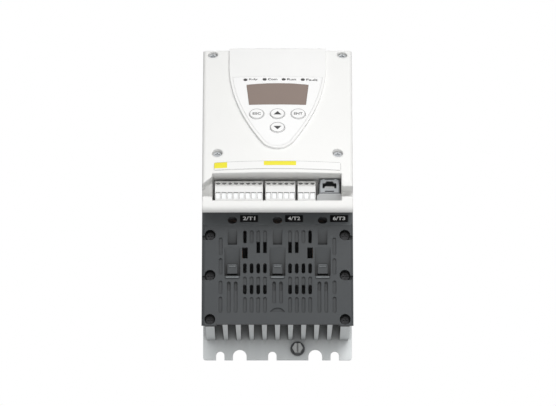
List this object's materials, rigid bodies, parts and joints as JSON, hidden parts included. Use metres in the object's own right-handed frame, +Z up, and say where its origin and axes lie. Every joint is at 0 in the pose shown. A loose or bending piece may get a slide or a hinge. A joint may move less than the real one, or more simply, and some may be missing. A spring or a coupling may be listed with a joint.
{
  "type": "soft starter",
  "caption": "Wall-mounted three-phase soft starter with a finned heat sink, a vented motor terminal cover, and a sloping white control hood with display, keys and plug-in terminals.",
  "frame": {"origin": "middle of the four fixing points, on the wall face of the mounting plate", "axes": "+X to the right seen from the front, +Y into the wall, +Z up"},
  "size_m": [0.13, 0.168, 0.265],
  "materials": {
    "white_plastic": "moulded, fine texture",
    "film_white": "printed film",
    "key_white": "satin",
    "plug_white": "satin",
    "dark_plastic": "moulded, fine texture",
    "inner_plastic": "satin",
    "black_plastic": "satin",
    "relay_plastic": "satin",
    "header_plastic": "satin",
    "smoked_window": "smoked, gloss",
    "lamp_lens": "gloss",
    "circuit_board": "solder mask",
    "aluminium": "extruded, matt",
    "copper": "tinned copper bar",
    "contact_metal": "plated",
    "zinc_steel": "zinc plated",
    "dark_steel": "blackened",
    "jack_metal": "nickel plated shell"
  },
  "bodies": {
    "starter": {"mounting_plate": "aluminium", "heat_sink": "aluminium", "power_base": "inner_plastic", "terminal_cover": "dark_plastic", "control_hood": "white_plastic", "shield_panel": "white_plastic", "keypad_overlay": "film_white", "display_window": "smoked_window", "display_module": "black_plastic", "status_leds": "lamp_lens", "keypad_board": "circuit_board", "key_switches": "black_plastic", "marker_strip": "film_white", "phase_markers": "black_plastic", "control_board": "circuit_board", "header_8way": "header_plastic", "header_5way": "header_plastic", "header_3way": "header_plastic", "header_pins": "contact_metal", "comm_port": "jack_metal", "comm_contacts": "contact_metal", "thyristor_module_1": "black_plastic", "thyristor_module_2": "black_plastic", "thyristor_module_3": "black_plastic", "bypass_relay_1": "relay_plastic", "bypass_relay_2": "relay_plastic", "bypass_relay_3": "relay_plastic", "motor_busbar_1": "copper", "motor_busbar_2": "copper", "motor_busbar_3": "copper", "line_busbar_1": "copper", "line_busbar_2": "copper", "line_busbar_3": "copper", "motor_terminal_screws": "zinc_steel", "line_terminal_screws": "zinc_steel", "line_terminal_block": "inner_plastic", "cover_screws": "dark_steel", "hood_screws": "zinc_steel", "earth_screw": "zinc_steel", "earth_washer": "zinc_steel"},
    "key_esc": {"key_esc": "key_white"},
    "key_up": {"key_up": "key_white"},
    "key_enter": {"key_enter": "key_white"},
    "key_down": {"key_down": "key_white"},
    "plug_8way": {"plug_8way": "plug_white", "plug_8way_screws": "zinc_steel"},
    "plug_5way": {"plug_5way": "plug_white", "plug_5way_screws": "zinc_steel"},
    "plug_3way": {"plug_3way": "plug_white", "plug_3way_screws": "zinc_steel"}
  },
  "joints": [
    {"name": "key_esc_press", "type": "slide", "parent": "starter", "child": "key_esc", "axis": [0, 0.848, -0.5299], "range_m": [0, 0.0008], "stiffness_N_per_m": 1200, "springref_m": -0.0004},
    {"name": "key_up_press", "type": "slide", "parent": "starter", "child": "key_up", "axis": [0, 0.848, -0.5299], "range_m": [0, 0.0008], "stiffness_N_per_m": 1200, "springref_m": -0.0004},
    {"name": "key_enter_press", "type": "slide", "parent": "starter", "child": "key_enter", "axis": [0, 0.848, -0.5299], "range_m": [0, 0.0008], "stiffness_N_per_m": 1200, "springref_m": -0.0004},
    {"name": "key_down_press", "type": "slide", "parent": "starter", "child": "key_down", "axis": [0, 0.848, -0.5299], "range_m": [0, 0.0008], "stiffness_N_per_m": 1200, "springref_m": -0.0004},
    {"name": "plug_8way_pull", "type": "slide", "parent": "starter", "child": "plug_8way", "axis": [0, -1, 0], "range_m": [0, 0.012]},
    {"name": "plug_5way_pull", "type": "slide", "parent": "starter", "child": "plug_5way", "axis": [0, -1, 0], "range_m": [0, 0.012]},
    {"name": "plug_3way_pull", "type": "slide", "parent": "starter", "child": "plug_3way", "axis": [0, -1, 0], "range_m": [0, 0.012]}
  ]
}
